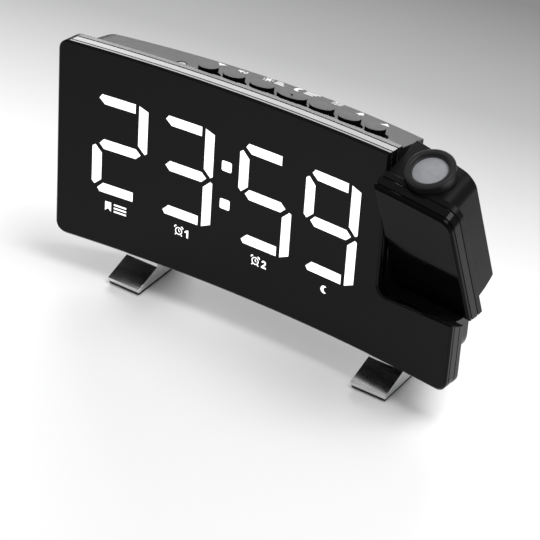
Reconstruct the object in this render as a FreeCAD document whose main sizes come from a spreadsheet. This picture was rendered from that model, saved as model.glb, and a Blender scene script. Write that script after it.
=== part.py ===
import FreeCAD, Part
import math
import os
import Sketcher

# Projection alarm clock: a curved display clock that stands on two chromed feet.
# A swivelling arm in a notch at its right end throws the time on a wall or ceiling.
# Millimetres, +Z up, the display looks along -Y. The origin lies on the table,
# below the middle of the clock's width and depth.

Vec = FreeCAD.Vector
doc = FreeCAD.newDocument("ProjectionClock")
sheet = doc.addObject("Spreadsheet::Sheet", "Sizes")


class Size:
    """A length or an angle, with its number and its formula in the sheet."""

    def __init__(self, number, formula):
        self.number = float(number)
        self.formula = formula

    def __add__(self, other):
        other = as_size(other)
        return Size(self.number + other.number, f"({self.formula} + {other.formula})")

    def __sub__(self, other):
        other = as_size(other)
        return Size(self.number - other.number, f"({self.formula} - {other.formula})")

    def __mul__(self, other):
        other = as_size(other)
        return Size(self.number * other.number, f"({self.formula} * {other.formula})")

    def __truediv__(self, other):
        other = as_size(other)
        return Size(self.number / other.number, f"({self.formula} / {other.formula})")

    def __radd__(self, other):
        return as_size(other) + self

    def __rsub__(self, other):
        return as_size(other) - self

    def __rmul__(self, other):
        return as_size(other) * self

    def __neg__(self):
        return as_size(0) - self


def as_size(value):
    return value if isinstance(value, Size) else Size(value, f"{float(value):.6f}")


def sine(angle):
    return Size(math.sin(math.radians(angle.number)), f"sin({angle.formula})")


def cosine(angle):
    return Size(math.cos(math.radians(angle.number)), f"cos({angle.formula})")


def tangent(angle):
    return sine(angle) / cosine(angle)


def root(size):
    return Size(math.sqrt(size.number), f"sqrt({size.formula})")


def size(name, number):
    """Write one driving dimension into the next row of the sheet."""
    row = size.row = getattr(size, "row", 0) + 1
    sheet.set(f"A{row}", name)
    sheet.set(f"B{row}", str(number))
    sheet.setAlias(f"B{row}", name)
    return Size(number, f"Sizes.{name}")


# Display face
half_width = size("half_width", 100.0)
face_height = size("face_height", 91.0)
face_radius = size("face_radius", 683.0)
face_corner = size("face_corner", 5.0)
tilt_back = size("tilt_back", 7.4)
ride_height = size("ride_height", 16.3)
origin_deep = size("origin_deep", 17.14)

# Layers behind the face, all measured back from its curve
panel_thick = size("panel_thick", 2.0)
panel_bevel = size("panel_bevel", 0.9)
glue_gap = size("glue_gap", 0.15)
seat_gap = size("seat_gap", 0.1)
frame_back = size("frame_back", 6.0)
frame_wall = size("frame_wall", 2.2)
seam_deep = size("seam_deep", 0.5)
seam_wide = size("seam_wide", 0.4)
rim_back = size("rim_back", 9.2)
rim_wall = size("rim_wall", 1.6)

# Moulded rear bump
wall = size("wall", 2.0)
rear_radius = size("rear_radius", 320.0)
rear_depth = size("rear_depth", 28.0)
bump_inset = size("bump_inset", 4.0)
bump_low = size("bump_low", 8.0)
bump_drop = size("bump_drop", 1.3)
bump_slope = size("bump_slope", 6.5)
bump_corner = size("bump_corner", 9.0)

# Notch and projector arm
notch_left = size("notch_left", 62.0)
pivot_deep = size("pivot_deep", 9.7)
pivot_up = size("pivot_up", 59.4)
ledge_radius = size("ledge_radius", 32.8)
ledge_fillet = size("ledge_fillet", 5.0)
arm_gap = size("arm_gap", 0.8)
arm_end_gap = size("arm_end_gap", 0.6)
arm_drop = size("arm_drop", 1.4)
arm_lean = size("arm_lean", 24.9)
arm_extra = size("arm_extra", 5.4)
arm_inset = size("arm_inset", 1.2)
arm_left_rim = size("arm_left_rim", 0.8)
arm_side_rim = size("arm_side_rim", 5.0)
arm_bump_corner = size("arm_bump_corner", 6.0)

# Pivot
shaft_radius = size("shaft_radius", 4.0)
shaft_bore = size("shaft_bore", 2.4)
shaft_flange = size("shaft_flange", 6.0)
bush_radius = size("bush_radius", 5.6)
bush_flange = size("bush_flange", 6.2)
flange_thick = size("flange_thick", 1.2)
washer_thick = size("washer_thick", 0.8)
clip_thick = size("clip_thick", 1.0)
clip_groove = size("clip_groove", 0.7)
run_fit = size("run_fit", 0.06)
thrust_gap = size("thrust_gap", 0.2)
press_fit = size("press_fit", 0.03)

# Projector optics
lens_across = size("lens_across", 80.0)
lens_deep = size("lens_deep", 12.0)
lens_radius = size("lens_radius", 7.2)
lens_thick = size("lens_thick", 2.4)
barrel_wall = size("barrel_wall", 0.8)
barrel_lip = size("barrel_lip", 0.7)
barrel_proud = size("barrel_proud", 2.4)
barrel_low = size("barrel_low", -14.0)
ring_radius = size("ring_radius", 10.1)
ring_sink = size("ring_sink", 1.7)
ring_proud = size("ring_proud", 3.6)
ring_gap = size("ring_gap", 0.35)
slide_thick = size("slide_thick", 1.2)
slide_rise = size("slide_rise", 8.0)
lamp_radius = size("lamp_radius", 2.5)
lamp_tall = size("lamp_tall", 5.0)
lamp_margin = size("lamp_margin", 0.5)
lamp_notch = size("lamp_notch", 2.0)
dome_rise = size("dome_rise", 0.9)
ring_bevel = size("ring_bevel", 0.6)
collar_tall = size("collar_tall", 4.0)
board_thick = size("board_thick", 1.6)

# Keys on the top of the bump
key_middle = size("key_middle", 6.0)
key_deep = size("key_deep", 11.7)
key_reach = size("key_reach", 10.4)
key_reach_large = size("key_reach_large", 12.8)
key_across = size("key_across", 5.4)
key_proud = size("key_proud", 1.7)
key_gap = size("key_gap", 0.3)
key_flange = size("key_flange", 0.8)
key_travel = size("key_travel", 0.8)
key_bevel = size("key_bevel", 0.5)
sensor_across = size("sensor_across", -48.5)
sensor_radius = size("sensor_radius", 1.8)
sensor_sink = size("sensor_sink", 0.8)
switch_side = size("switch_side", 4.5)
switch_tall = size("switch_tall", 2.6)
switch_gap = size("switch_gap", 0.2)
strip_half = size("strip_half", 52.0)
strip_across = size("strip_across", 9.0)
strip_shift = size("strip_shift", 0.8)

# Feet
foot_inner = size("foot_inner", 55.0)
foot_wide = size("foot_wide", 17.0)
foot_front = size("foot_front", 6.3)
foot_rear = size("foot_rear", 33.0)
toe_tall = size("toe_tall", 1.5)
foot_slope = size("foot_slope", 19.0)
pad_tall = size("pad_tall", 1.4)
pad_inset = size("pad_inset", 0.4)
heel_gap = size("heel_gap", 0.5)
heel_long = size("heel_long", 8.5)

# Inner and rear parts
speaker_across = size("speaker_across", -54.0)
speaker_up = size("speaker_up", 46.0)
speaker_radius = size("speaker_radius", 14.0)
speaker_lip = size("speaker_lip", 1.5)
speaker_cone = size("speaker_cone", 4.6)
speaker_magnet = size("speaker_magnet", 4.0)
magnet_radius = size("magnet_radius", 8.5)
slot_pitch = size("slot_pitch", 3.6)
slot_wide = size("slot_wide", 1.6)
slot_margin = size("slot_margin", 3.0)
slot_pairs = 3
door_up = size("door_up", 46.0)
door_side = size("door_side", 26.0)
door_thick = size("door_thick", 1.6)
door_gap = size("door_gap", 0.3)
cell_radius = size("cell_radius", 10.0)
cell_thick = size("cell_thick", 3.2)
bay_deep = size("bay_deep", 7.0)
bay_wall = size("bay_wall", 1.4)
door_ledge = size("door_ledge", 2.0)
door_sink = size("door_sink", 0.5)
pull_half = size("pull_half", 4.0)
pull_tall = size("pull_tall", 2.4)
pull_up = size("pull_up", 7.0)
pull_deep = size("pull_deep", 0.7)
holder_deep = size("holder_deep", 4.6)
board_deep = size("board_deep", 14.0)
board_low = size("board_low", 13.0)
board_high = size("board_high", 30.0)
board_left = size("board_left", -34.0)
board_right = size("board_right", 52.0)
post_half = size("post_half", 2.4)
post_inset = size("post_inset", 4.0)
post_low = size("post_low", 3.0)
block_left = size("block_left", -84.0)
block_right = size("block_right", 51.6)
block_low = size("block_low", 12.0)
block_drop = size("block_drop", 11.0)
block_back = size("block_back", 7.0)

# Digits: each is seven cavities in the block, upright, with bevelled ends
digit_wide = size("digit_wide", 26.9)
digit_low = size("digit_low", 25.9)
digit_tall = size("digit_tall", 45.4)
digit_stroke = size("digit_stroke", 4.5)
digit_slit = size("digit_slit", 2.0)
digit_left = size("digit_left", -82.0)
digit_pitch = size("digit_pitch", 32.9)
colon_extra = size("colon_extra", 6.9)
colon_side = size("colon_side", 4.8)
colon_low = size("colon_low", 14.3)
colon_high = size("colon_high", 31.6)
cavity_floor = size("cavity_floor", 0.8)

# Screws, their lugs and their bosses
screw_inset = size("screw_inset", 10.0)
notch_screw = size("notch_screw", 6.0)
screw_low = size("screw_low", 13.5)
screw_drop = size("screw_drop", 19.0)
screw_bite = size("screw_bite", 2.6)
head_tall = size("head_tall", 1.6)
head_back = size("head_back", 4.0)
drive_wide = size("drive_wide", 0.7)
drive_deep = size("drive_deep", 0.8)
lug_rise = size("lug_rise", 0.8)
lug_sink = size("lug_sink", 0.2)
screw_radius = size("screw_radius", 1.3)
screw_head = size("screw_head", 2.4)
screw_gap = size("screw_gap", 0.3)
boss_half = size("boss_half", 3.4)

# Sockets in the rear
socket_up = size("socket_up", 22.0)
usb_across = size("usb_across", 38.0)
usb_half_wide = size("usb_half_wide", 6.6)
usb_half_tall = size("usb_half_tall", 3.0)
usb_can_thick = size("usb_can_thick", 0.4)
usb_deep = size("usb_deep", 8.5)
tongue_half = size("tongue_half", 5.4)
tongue_thick = size("tongue_thick", 1.8)
tongue_short = size("tongue_short", 0.8)
jack_across = size("jack_across", 20.0)
jack_radius = size("jack_radius", 4.0)
jack_bore = size("jack_bore", 2.8)
jack_deep = size("jack_deep", 8.0)
jack_pin = size("jack_pin", 0.9)
socket_gap = size("socket_gap", 0.3)
socket_sink = size("socket_sink", 0.2)

# Worked out from the sizes above
bump_half = half_width - bump_inset
arm_rise = face_height - arm_drop - pivot_up
barrel_top = arm_rise + barrel_proud
ring_low = arm_rise - ring_sink
ring_top = arm_rise + ring_proud
screw_high = face_height - screw_drop
block_high = face_height - block_drop

FAR = 120.0
doc.recompute()


def bind(thing, prop, value):
    thing.setExpression(prop, as_size(value).formula)


def place_formula(x=0, y=0, z=0, turn_axis="0; 0; 1", angle=0):
    x, y, z, angle = (as_size(value).formula for value in (x, y, z, angle))
    return f"placement(vector({x}; {y}; {z}); rotation(vector({turn_axis}); {angle}))"


def place(thing, *where, **turn):
    thing.setExpression("Placement", place_formula(*where, **turn))
    return thing


CLOCK = place_formula(0, -origin_deep, ride_height, "1; 0; 0", -tilt_back)
ARM = " * ".join((
    CLOCK,
    place_formula(0, pivot_deep, pivot_up, "1; 0; 0", arm_lean),
    place_formula(0, -pivot_deep, -pivot_up),
))
TABLE = place_formula(0, -origin_deep, 0)


def box(name, x, y, z):
    """A block between pairs of limits along each axis."""
    block = doc.addObject("Part::Box", name)
    for prop, (low, high) in zip(("Length", "Width", "Height"), (x, y, z)):
        bind(block, prop, as_size(high) - as_size(low))
    return place(block, x[0], y[0], z[0])


def cylinder(name, radius, x, y, z, length, axis="z"):
    """A round bar that starts at a point and runs along one axis."""
    bar = doc.addObject("Part::Cylinder", name)
    bind(bar, "Radius", radius)
    bind(bar, "Height", length)
    turns = {"z": ("0; 0; 1", 0), "x": ("0; 1; 0", 90), "y": ("1; 0; 0", -90)}
    turn_axis, angle = turns[axis]
    return place(bar, x, y, z, turn_axis=turn_axis, angle=angle)


def cut(name, base, *tools):
    result = doc.addObject("Part::Cut", name)
    result.Base = base
    result.Tool = tools[0] if len(tools) == 1 else fuse(name + "_tools", *tools)
    return result


def fuse(name, *shapes):
    result = doc.addObject("Part::MultiFuse", name)
    result.Shapes = list(shapes)
    result.Refine = True
    return result


def common(name, *shapes):
    result = doc.addObject("Part::MultiCommon", name)
    result.Shapes = list(shapes)
    result.Refine = True
    return result


def sketch_on(body, name, plane, points, offset=0):
    """A closed outline whose corners are held by formulas."""
    sketch = body.newObject("Sketcher::SketchObject", name)
    planes = [item for item in body.Origin.OriginFeatures if item.Role == plane]
    sketch.AttachmentSupport = [(planes[0], "")]
    sketch.MapMode = "FlatFace"
    sketch.setExpression("AttachmentOffset.Base.z", as_size(offset).formula)
    points = [(as_size(a), as_size(b)) for a, b in points]
    count = len(points)
    corners = [Vec(a.number, b.number, 0) for a, b in points]
    for index in range(count):
        following = corners[(index + 1) % count]
        sketch.addGeometry(Part.LineSegment(corners[index], following), False)
    for index in range(count):
        after = (index + 1) % count
        sketch.addConstraint(Sketcher.Constraint("Coincident", index, 2, after, 1))
    for index, pair in enumerate(points):
        for kind, value in zip(("DistanceX", "DistanceY"), pair):
            rule = Sketcher.Constraint(kind, -1, 1, index, 1, value.number)
            number = sketch.addConstraint(rule)
            sketch.setExpression(f"Constraints[{number}]", value.formula)
    return sketch


def prism(name, plane, points, low, high):
    """An outline pulled straight between two limits along its plane's normal."""
    body = doc.addObject("PartDesign::Body", name)
    low, high = as_size(low), as_size(high)
    offset = -high if plane == "XZ_Plane" else low
    sketch = sketch_on(body, name + "_outline", plane, points, offset)
    pad = body.newObject("PartDesign::Pad", name + "_pad")
    pad.Profile = sketch
    bind(pad, "Length", high - low)
    doc.recompute()
    return body


def turned(name, points):
    """An outline of (place along X, radius) turned about the X axis."""
    body = doc.addObject("PartDesign::Body", name)
    sketch = sketch_on(body, name + "_outline", "XZ_Plane", points)
    spin = body.newObject("PartDesign::Revolution", name + "_turn")
    spin.Profile = sketch
    spin.ReferenceAxis = (sketch, ["H_Axis"])
    spin.Angle = 360
    doc.recompute()
    return body


def soften(body, radius, pick, kind="PartDesign::Fillet"):
    """Round or bevel the edges of a body that pick accepts."""
    base = body.Tip
    names = [f"Edge{i + 1}" for i, edge in enumerate(base.Shape.Edges) if pick(edge)]
    if not names:
        raise RuntimeError(f"{body.Name}: no edge to soften")
    feature = body.newObject(kind, f"{body.Name}_soft{len(body.Group)}")
    feature.Base = (base, names)
    bind(feature, "Radius" if kind.endswith("Fillet") else "Size", radius)
    doc.recompute()
    return body


def middle(edge):
    return edge.valueAt((edge.FirstParameter + edge.LastParameter) / 2)


def along(axis):
    """Pick straight edges that run along one axis."""
    def pick(edge):
        if edge.Curve.TypeId != "Part::GeomLine":
            return False
        direction = edge.tangentAt(edge.FirstParameter)
        return abs(getattr(direction, axis)) > 0.99
    return pick


def rectangle(low_a, high_a, low_b, high_b):
    return [(low_a, low_b), (high_a, low_b), (high_a, high_b), (low_a, high_b)]


nodes = {}


def node(name, thing, where):
    """Name a finished piece and set it in its place."""
    thing.Label = name
    thing.setExpression("Placement", where)
    nodes[name] = thing


def front_arc(across):
    """How far the face lies behind its middle at a distance from the middle."""
    return root(face_radius * face_radius - across * across) - face_radius


def rear_arc(across):
    """The rear of the bump at a distance from its middle."""
    return rear_depth - rear_radius + root(rear_radius * rear_radius - across * across)


def slab(name, near, far):
    """The curved layer between two depths behind the face."""
    outer = cylinder(name + "_outer", face_radius + far, 0, -face_radius, -FAR, 3 * FAR)
    inner = cylinder(name + "_inner", face_radius + near, 0, -face_radius, -FAR, 3 * FAR)
    return cut(name, outer, inner)


def notch_form(name, grow):
    """The space in which the arm turns, larger all round by grow."""
    left = notch_left - grow
    right = half_width + FAR
    outline = [(left, 0), (right, 0), (right, ledge_radius + grow), (left, ledge_radius + grow)]
    ledge = turned(name + "_ledge", outline)
    rim_at = ledge_radius.number + as_size(grow).number
    soften(ledge, ledge_fillet + grow, lambda edge: is_rim(edge, left.number, rim_at))
    place(ledge, 0, pivot_deep, pivot_up)
    sky = box(name + "_sky", (left, right), (-FAR, FAR), (pivot_up, face_height + FAR))
    return fuse(name, ledge, sky)


def is_rim(edge, across, radius):
    """True for the round edge of a turned form at one place along X."""
    if edge.Curve.TypeId != "Part::GeomCircle":
        return False
    return abs(edge.Curve.Center.x - across) < 0.01 and abs(edge.Curve.Radius - radius) < 0.01


def face_area(name, inset):
    """The display's outline, smaller all round by inset, without the notch."""
    points = rectangle(inset - half_width, half_width - inset, inset, face_height - inset)
    outline = prism(name + "_plate", "XZ_Plane", points, -FAR, FAR)
    soften(outline, face_corner - inset / 2, along("y"))
    return cut(name, outline, notch_form(name + "_notch", inset))


def arm_area(name, inset):
    """The arm's outline, smaller all round by inset."""
    left = notch_left + arm_gap + inset
    right = half_width - inset
    end_radius = ledge_radius - arm_end_gap - inset
    end = turned(name + "_end", rectangle(left, right, 0, end_radius))
    rim_at = end_radius.number
    rounding = ledge_fillet - arm_end_gap - inset / 2
    soften(end, rounding, lambda edge: is_rim(edge, left.number, rim_at))
    place(end, 0, pivot_deep, pivot_up)
    below = box(name + "_below", (left, right), (-FAR, FAR), (-FAR, pivot_up))
    lower = common(name + "_lower", end, below)
    points = rectangle(left, right, pivot_up, pivot_up + arm_rise - inset)
    upper = prism(name + "_upper", "XZ_Plane", points, -FAR, FAR)
    top_right = (right.number, (pivot_up + arm_rise - inset).number)
    soften(upper, face_corner - inset / 2, lambda edge: near_point(edge, *top_right))
    return fuse(name, lower, upper)


def near_point(edge, x, z):
    point = middle(edge)
    return along("y")(edge) and abs(point.x - x) < 0.01 and abs(point.z - z) < 0.01


# Curved layers shared by the housing and the arm
panel_layer = slab("panel_layer", 0, panel_thick)
frame_front = panel_thick + glue_gap
frame_lip_layer = slab("frame_lip_layer", frame_front, frame_front + seam_wide)
frame_layer = slab("frame_layer", frame_front + seam_wide, frame_back)
rim_front = frame_back + glue_gap
rim_lip_layer = slab("rim_lip_layer", rim_front, rim_front + seam_wide)
rim_layer = slab("rim_layer", rim_front + seam_wide, rim_back)
rim_pocket_layer = slab("rim_pocket_layer", rim_front, rim_back - rim_wall)
before_rim = cylinder("before_rim", face_radius + rim_front, 0, -face_radius, -FAR, 3 * FAR)


def bump_top(deep):
    """Height of the bump's sloping top at a depth."""
    return face_height - bump_drop - (deep - rim_back) * tangent(bump_slope)


def rear_bound(name, extra):
    """Everything in front of the curved rear of a bump."""
    extra = as_size(extra)
    axis_deep = rear_depth + extra - rear_radius
    return cylinder(name, rear_radius, 0, axis_deep, -FAR, 3 * FAR)


def bump_form(name, inset):
    """The housing's bump, smaller all round by inset."""
    front, rear = -10, rear_depth + 12
    points = [
        (front, bump_low + inset),
        (rear, bump_low + inset),
        (rear, bump_top(as_size(rear)) - inset),
        (front, bump_top(as_size(front)) - inset),
    ]
    body = prism(name + "_block", "YZ_Plane", points, inset - bump_half, bump_half - inset)
    soften(body, bump_corner - inset, runs_back)
    return common(name, body, rear_bound(name + "_rear", -inset))


def runs_back(edge):
    """Pick the edges that lead from front to back, level or sloping."""
    return abs(edge.tangentAt(edge.FirstParameter).y) > 0.9


# Front panel: one curved sheet of dark acrylic with a polished bevel round its edge
def bevelled(name, base, width, pick):
    """Bevel picked edges of a finished solid."""
    doc.recompute()
    feature = doc.addObject("Part::Chamfer", name)
    feature.Base = base
    edges = [i + 1 for i, edge in enumerate(base.Shape.Edges) if pick(edge)]
    feature.Edges = [(index, width.number, width.number) for index in edges]
    return feature


def on_face(edge):
    """True for edges that lie in the display's curved front."""
    points = (edge.valueAt(edge.FirstParameter), middle(edge), edge.valueAt(edge.LastParameter))
    return all(abs(math.hypot(p.x, p.y + face_radius.number) - face_radius.number) < 0.001 for p in points)


face = face_area("face", 0)
panel_blank = common("panel_blank", panel_layer, face)
node("front_panel", bevelled("panel", panel_blank, panel_bevel, on_face), CLOCK)

arm_face = arm_area("arm_face", 0)
arm_panel_blank = common("arm_panel_blank", panel_layer, arm_face)
node("arm_panel", bevelled("arm_panel_piece", arm_panel_blank, panel_bevel, on_face), ARM)

# Front frames: moulded bands behind the panels, stepped in where they meet them
face_step = face_area("face_step", seam_deep)
face_hole = face_area("face_hole", frame_wall)
frame_band = common("frame_band", frame_layer, face)
frame_lip = common("frame_lip", frame_lip_layer, face_step)
frame_ring = cut("frame_ring", fuse("frame_whole", frame_band, frame_lip), face_hole)

# Each screw stands near a side wall of the frame: across, up, and that wall's place
side_wall = half_width - frame_wall / 2
screw_spots = (
    (screw_inset - half_width, screw_high, -side_wall),
    (screw_inset - half_width, screw_low, -side_wall),
    (notch_left - notch_screw, screw_high, notch_left - frame_wall / 2),
    (half_width - screw_inset, screw_low, side_wall),
)


def screw_bars(name, radius, low, high):
    """Round bars from front to back at the screws, between two depths behind the face."""
    bars = []
    for index, (across, up, _) in enumerate(screw_spots, 1):
        start = front_arc(across) + low
        bars.append(cylinder(f"{name}_{index}", radius, across, start, up, high - low, "y"))
    return fuse(name, *bars)


def screw_blocks(name, half, low, high):
    """Square bosses from front to back at the screws, between two depths behind the face."""
    blocks = []
    for index, (across, up, _) in enumerate(screw_spots, 1):
        start = front_arc(across)
        blocks.append(box(f"{name}_{index}", (across - half, across + half), (start + low, start + high),
                          (up - half, up + half)))
    return fuse(name, *blocks)


def lug_bridge(name, across, up, wall_at):
    """The web that ties one screw lug to the frame's side wall."""
    low, high = sorted((across, wall_at), key=lambda value: value.number)
    depths = (front_arc(across) + lug_front, front_arc(wall_at) + lug_back)
    return box(name, (low, high), depths, (up - boss_half / 2, up + boss_half / 2))


lug_front = frame_front + lug_rise
lug_back = frame_back - lug_sink
lugs = screw_blocks("lugs", boss_half, lug_front, lug_back)
bridges = [lug_bridge(f"lug_bridge_{i}", *spot) for i, spot in enumerate(screw_spots, 1)]
frame_lugged = fuse("frame_lugged", frame_ring, lugs, *bridges)
lug_holes = screw_bars("lug_holes", screw_radius + press_fit, lug_back - screw_bite, lug_back + wall)
node("front_frame", cut("frame_piece", frame_lugged, lug_holes), CLOCK)

arm_step = arm_area("arm_step", seam_deep)
arm_hole = arm_area("arm_hole", frame_wall)
arm_band = common("arm_band", frame_layer, arm_face)
arm_lip = common("arm_lip", frame_lip_layer, arm_step)
arm_frame_whole = fuse("arm_frame_whole", arm_band, arm_lip)
node("arm_frame", cut("arm_frame_piece", arm_frame_whole, arm_hole), ARM)


# Keys stand square to the sloping top of the bump, in a row that follows the face
key_steps = (-41.2, -28.6, -14.8, 0.0, 14.8, 28.6, 41.2)


def key_spot(step):
    """Where a key meets the top of the bump: across, back and up."""
    across = key_middle + step
    deep = key_deep + front_arc(across)
    return across, deep, bump_top(deep)


def key_frame(step):
    return place_formula(*key_spot(step), "1; 0; 0", -bump_slope)


def oval(name, reach, across, low, high):
    """A block with half-round ends, between two heights."""
    points = rectangle(-reach / 2, reach / 2, -across / 2, across / 2)
    return soften(prism(name, "XY_Plane", points, low, high), across / 2 - 0.05, along("z"))


def key_reach_at(step):
    return key_reach_large if step == 0 else key_reach


def key_cap(name, step):
    """One key: an oval cap with a bevelled top on a flange that keeps it in."""
    reach = key_reach_at(step)
    cap = oval(name + "_cap", reach, key_across, flange_top - key_flange / 2, key_proud)
    top_edge = lambda edge: abs(middle(edge).z - key_proud.number) < 0.01
    soften(cap, key_bevel, top_edge, "PartDesign::Chamfer")
    wide, deep = reach / 2 + key_flange, key_across / 2 + key_flange
    flange = box(name + "_flange", (-wide, wide), (-deep, deep), (flange_top - key_flange, flange_top))
    return fuse(name + "_piece", cap, flange)


flange_top = -(wall + key_gap)
switch_top = flange_top - key_flange - key_travel - switch_gap
key_board_top = switch_top - switch_tall
key_slots, switches = [], []
for index, step in enumerate(key_steps, 1):
    spot = key_frame(step)
    node(f"key_{index}", key_cap(f"key_{index}", step), CLOCK + " * " + spot)
    reach = key_reach_at(step) + 2 * key_gap
    slot = oval(f"key_slot_{index}", reach, key_across + 2 * key_gap, -2 * wall, 2 * key_proud)
    slot.setExpression("Placement", spot)
    key_slots.append(slot)
    half = switch_side / 2
    switch = box(f"switch_{index}", (-half, half), (-half, half), (key_board_top, switch_top))
    switch.setExpression("Placement", spot + " * " + place_formula(-half, -half, key_board_top))
    switches.append(switch)
node("key_switches", fuse("key_switch_group", *switches), CLOCK)

strip_frame = key_frame(0)
strip_front = -strip_across / 2 - strip_shift
strip = box("key_strip", (0, 2 * strip_half), (0, strip_across), (0, board_thick))
strip_place = place_formula(-strip_half, strip_front, key_board_top - board_thick)
node("key_board", strip, CLOCK + " * " + strip_frame + " * " + strip_place)
key_posts = []
for index, end in enumerate((-strip_half, strip_half - wall), 1):
    post = box(f"key_post_{index}", (0, wall), (0, strip_across), (0, -key_board_top - wall / 2))
    post_place = place_formula(end, strip_front, key_board_top)
    post.setExpression("Placement", strip_frame + " * " + post_place)
    key_posts.append(post)
sensor_dip = cylinder("sensor_dip", sensor_radius, 0, 0, -sensor_sink, wall)
sensor_place = key_frame(sensor_across - key_middle) + " * " + place_formula(0, 0, -sensor_sink)
sensor_dip.setExpression("Placement", sensor_place)

# Rear shell: rim, bump and everything moulded inside it
rim_band = common("rim_band", rim_layer, face)
rim_lip = common("rim_lip", rim_lip_layer, face_step)
notch = notch_form("notch", 0)
bump = cut("bump", bump_form("bump_outer", 0), before_rim, notch)
rim_pocket = common("rim_pocket", rim_pocket_layer, face_hole)
inner_notch = notch_form("inner_notch", wall)
hollow = cut("hollow", fuse("hollow_whole", rim_pocket, bump_form("bump_inner", wall)), inner_notch)
shell_blank = cut("shell_blank", fuse("shell_whole", rim_band, rim_lip, bump), hollow)

screw_bosses = screw_blocks("screw_bosses", boss_half, frame_back + run_fit, FAR)
speaker_seat = rear_arc(speaker_across - speaker_radius) - wall
speaker_well = cylinder("speaker_well", speaker_radius + rim_wall, speaker_across, speaker_seat - wall,
                        speaker_up, FAR, "y")
half_bay = door_side / 2 + bay_wall
bay_front = rear_depth - bay_deep - bay_wall
bay_block = box("bay_block", (-half_bay, half_bay), (bay_front, FAR),
                (door_up - half_bay, door_up + half_bay))
board_back = board_deep + board_thick
post_spots = [
    (across, up)
    for across in (board_left + post_inset, board_right - post_inset)
    for up in (board_low + post_low, board_high - post_low)
]
board_posts = [
    box(f"board_post_{index}", (across - post_half, across + post_half), (board_back, FAR),
        (up - post_half, up + post_half))
    for index, (across, up) in enumerate(post_spots, 1)
]
fill_whole = fuse("fill_whole", screw_bosses, speaker_well, bay_block, *board_posts)
inner_fill = common("inner_fill", fill_whole, bump)
shell_filled = fuse("shell_filled", shell_blank, inner_fill, *key_posts)

screw_shafts = screw_bars("screw_shafts", screw_radius + screw_gap, frame_back - 1, FAR)
head_seat = frame_back + head_back
screw_wells = screw_bars("screw_wells", screw_head + screw_gap, head_seat, FAR)
grille_front = rear_arc(speaker_across) - wall
speaker_bore = cylinder("speaker_bore", speaker_radius - speaker_lip, speaker_across, 0, speaker_up,
                        grille_front - speaker_lip, "y")
speaker_recess = cylinder("speaker_recess", speaker_radius + door_gap, speaker_across, 0, speaker_up,
                          speaker_seat, "y")
slots = []
for index in range(-slot_pairs, slot_pairs + 1):
    across = speaker_across + index * slot_pitch
    chord = speaker_radius - slot_margin
    half_long = root(chord * chord - index * slot_pitch * (index * slot_pitch))
    slots.append(box(f"sound_slot_{index + slot_pairs + 1}",
                     (across - slot_wide / 2, across + slot_wide / 2), (speaker_seat, FAR),
                     (speaker_up - half_long, speaker_up + half_long)))
half_door = door_side / 2
half_hole = half_door - door_ledge
bay_hole = box("bay_hole", (-half_hole, half_hole), (rear_depth - bay_deep, FAR),
               (door_up - half_hole, door_up + half_hole))
door_seat = rear_depth - door_thick - door_sink
door_hole = box("door_hole", (-half_door, half_door), (door_seat, FAR),
                (door_up - half_door, door_up + half_door))
usb_wide = usb_half_wide + socket_gap
usb_tall = usb_half_tall + socket_gap
usb_hole = box("usb_hole", (usb_across - usb_wide, usb_across + usb_wide), (board_back, FAR),
               (socket_up - usb_tall, socket_up + usb_tall))
jack_hole = cylinder("jack_hole", jack_radius + socket_gap, jack_across, board_back, socket_up, FAR, "y")
bush_hole = cylinder("bush_hole", bush_radius + press_fit, notch_left - 2 * wall, pivot_deep, pivot_up,
                     4 * wall, "x")
shell_holes = [
    screw_shafts, screw_wells, speaker_bore, speaker_recess, *slots, bay_hole, door_hole,
    usb_hole, jack_hole, bush_hole, sensor_dip, *key_slots,
]
node("rear_shell", cut("shell_piece", shell_filled, *shell_holes), CLOCK)

# Screws from the rear into the frame's lugs
screws = []
for index, (across, up, _) in enumerate(screw_spots, 1):
    seat = front_arc(across) + head_seat
    shank_from = front_arc(across) + lug_back - screw_bite + screw_gap
    shank = cylinder(f"shank_{index}", screw_radius, across, shank_from, up, seat - shank_from, "y")
    head = cylinder(f"screw_head_{index}", screw_head, across, seat, up, head_tall, "y")
    slot = box(f"screw_slot_{index}", (across - screw_head, across + screw_head),
               (seat + head_tall - drive_deep, FAR), (up - drive_wide / 2, up + drive_wide / 2))
    screws.append(cut(f"screw_{index}", fuse(f"screw_whole_{index}", shank, head), slot))
node("rear_screws", fuse("rear_screw_group", *screws), CLOCK)


# Digit block: a white moulding with one open cavity for each lit segment
def segment_outlines():
    """The seven strokes of a digit, from its lower left corner."""
    wide, tall, stroke, slit = digit_wide, digit_tall, digit_stroke, digit_slit
    half, tip, low = stroke / 2, stroke * 0.3, stroke * 0.6
    mid = tall / 2
    left, right = stroke + slit / 2, wide - stroke - slit
    side_low, side_high = stroke + slit / 2, mid - slit / 2
    lower_left = [(0, side_low), (tip, side_low - tip), (stroke, side_low + tip),
                  (stroke, side_high - low), (tip, side_high + tip / 2), (0, side_high)]
    upper_left = [(x, y + mid - slit / 2) for x, y in lower_left]
    upper_right = [(wide - stroke, mid + half + slit / 2), (wide - tip, mid + slit / 4),
                   (wide, mid + slit / 2), (wide, tall - low / 2), (wide - stroke, tall)]
    lower_right = [(wide - stroke, 0), (wide, half), (wide, mid - slit),
                   (wide - tip, mid - slit / 2), (wide - stroke, mid - half - slit)]
    middle_bar = [(left - half, mid), (left, mid - half), (right + tip, mid - half),
                  (right + stroke, mid), (right + tip, mid + half), (left, mid + half)]
    top_bar = [(left, tall - stroke), (right, tall - stroke), (right, tall),
               (left - tip, tall), (left - low, tall - low / 2)]
    bottom_bar = [(x, tall - y) for x, y in reversed(top_bar)]
    return (top_bar, upper_right, lower_right, bottom_bar, lower_left, upper_left, middle_bar)


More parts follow.
